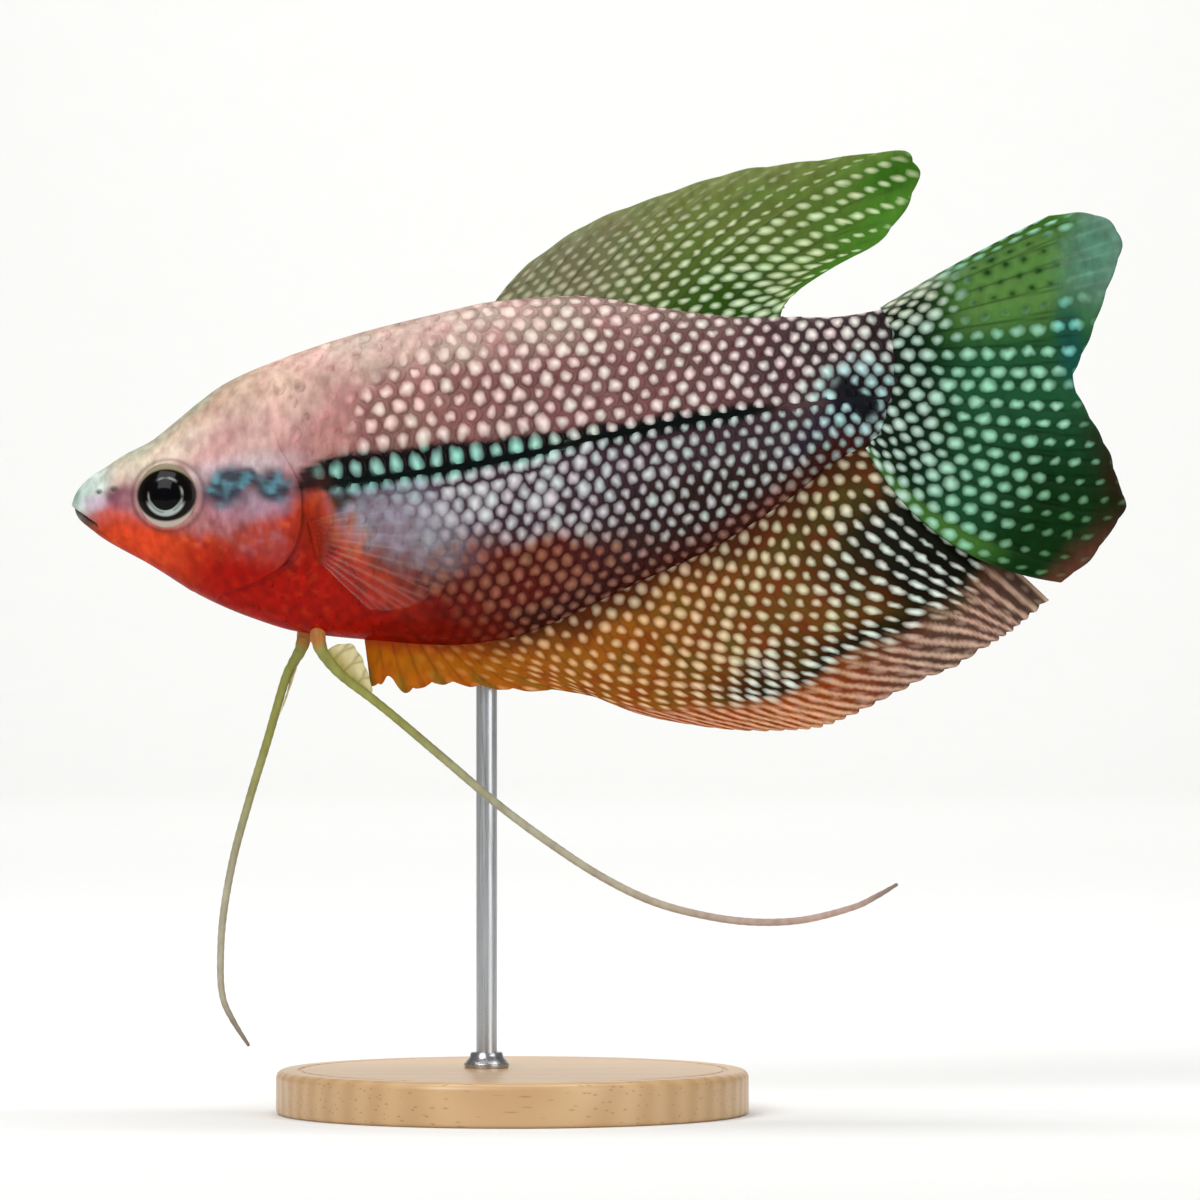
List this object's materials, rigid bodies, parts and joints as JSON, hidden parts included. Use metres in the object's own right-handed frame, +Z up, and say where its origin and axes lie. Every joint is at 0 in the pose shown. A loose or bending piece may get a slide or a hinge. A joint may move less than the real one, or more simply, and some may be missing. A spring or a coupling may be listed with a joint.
{
  "type": "fish model",
  "caption": "Life-size pearl gourami with a raised dorsal fin, long anal fin, round-lobed tail and thread-like pelvic feelers, held over a round base by a rod.",
  "frame": {"origin": "centre of the bounding box's underside, on the surface that the stand's base rests on", "axes": "+X from the head towards the tail, -Y out of the fish's left flank, +Z up"},
  "size_m": [0.1204, 0.054, 0.1101],
  "materials": {
    "head": "wet skin over a mint snout and an orange-red throat",
    "trunk": "scaled skin, brown-mauve with pearl spots, a black midline and a red belly",
    "tail": "scaled skin with pearl spots and a dark blotch",
    "eye": "glossy dark iris with a thin silver ring",
    "dorsal": "thin green fin with cream spots",
    "anal": "thin orange-brown fin with cream spots",
    "caudal": "thin dark green fin with mint spots",
    "pectoral": "thin clear fin",
    "feeler": "satin thread of skin",
    "beech": "turned pale beech under a satin varnish",
    "steel": "fine brushed"
  },
  "bodies": {
    "root": {"head": "head", "trunk": "trunk", "tail_stalk": "tail", "eye_left": "eye", "eye_right": "eye", "dorsal_fin": "dorsal", "anal_fin": "anal", "caudal_fin": "caudal", "pectoral_fin_left": "pectoral", "pectoral_fin_right": "pectoral", "pelvic_fin_left_root": "feeler", "pelvic_fin_left_middle": "feeler", "pelvic_fin_left_tip": "feeler", "pelvic_fin_right_root": "feeler", "pelvic_fin_right_middle": "feeler", "pelvic_fin_right_tip": "feeler", "stand_base": "beech", "stand_rod": "steel", "stand_ferrule": "steel"}
  },
  "joints": []
}
